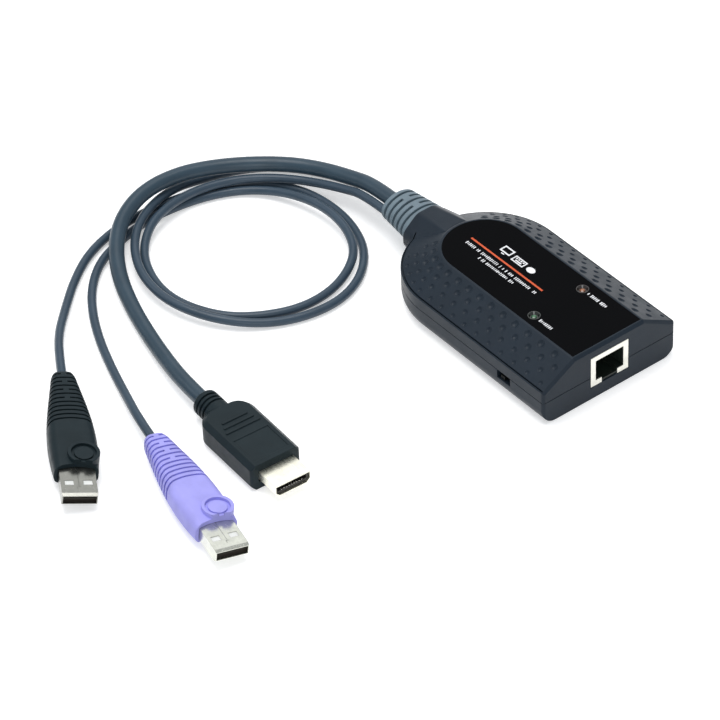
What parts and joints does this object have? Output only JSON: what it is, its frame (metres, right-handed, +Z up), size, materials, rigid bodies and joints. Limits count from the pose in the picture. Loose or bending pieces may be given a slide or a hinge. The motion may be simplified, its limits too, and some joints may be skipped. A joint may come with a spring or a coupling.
{
  "type": "kvm dongle",
  "caption": "Adapter dongle in a sloped, dimpled housing with a network jack at one end and a slotted boot at the other, from which a video cord and data cords run to their plugs.",
  "frame": {"origin": "under the housing on its long axis, 49.5 mm behind the network jack's face, level with the flat underside", "axes": "+X along the housing towards the network jack, +Z up from the underside, +Y to the side away from the mode switch"},
  "size_m": [0.1815, 0.2062, 0.0215],
  "materials": {
    "housing": "fine matte",
    "label": "smooth",
    "board": "satin",
    "socket_plastic": "satin",
    "socket_metal": "nickel plated",
    "contact_gold": "plated",
    "clear_plastic": "clear",
    "light_package": "satin",
    "switch_plastic": "satin",
    "chip_black": "matte",
    "can_metal": "satin",
    "header_plastic": "satin",
    "cord_jacket": "satin",
    "boot_rubber": "satin",
    "screw_steel": "plated",
    "black_grip": "fine matte",
    "violet_grip": "fine matte",
    "video_shell_metal": "pale plated",
    "data_shell_metal": "nickel plated",
    "insert_black": "satin",
    "insert_white": "satin"
  },
  "bodies": {
    "dongle": {"top_cover": "housing", "bottom_cover": "housing", "label_film": "label", "circuit_board": "board", "network_jack_body": "socket_plastic", "network_jack_shield": "socket_metal", "network_jack_contacts": "contact_gold", "power_light_pipe": "clear_plastic", "link_light_pipe": "clear_plastic", "power_light": "light_package", "link_light": "light_package", "switch_body": "switch_plastic", "video_chip": "chip_black", "control_chip": "chip_black", "clock_crystal": "can_metal", "capacitors": "can_metal", "network_magnetics": "chip_black", "cable_header": "header_plastic", "cable_tails": "cord_jacket", "cable_boot": "boot_rubber", "case_screws": "screw_steel", "video_cord": "cord_jacket", "black_data_cord": "cord_jacket", "violet_data_cord": "cord_jacket", "video_plug_grip": "black_grip", "video_plug_shell": "video_shell_metal", "video_plug_insert": "insert_black", "video_plug_contacts": "contact_gold", "black_plug_grip": "black_grip", "black_plug_shell": "data_shell_metal", "black_plug_insert": "insert_white", "black_plug_contacts": "contact_gold", "violet_plug_grip": "violet_grip", "violet_plug_shell": "data_shell_metal", "violet_plug_insert": "insert_white", "violet_plug_contacts": "contact_gold"},
    "mode_switch": {"switch_slider": "switch_plastic"}
  },
  "joints": [
    {"name": "mode_slide", "type": "slide", "parent": "dongle", "child": "mode_switch", "axis": [1, 0, 0], "range_m": [0, 0.002]}
  ]
}
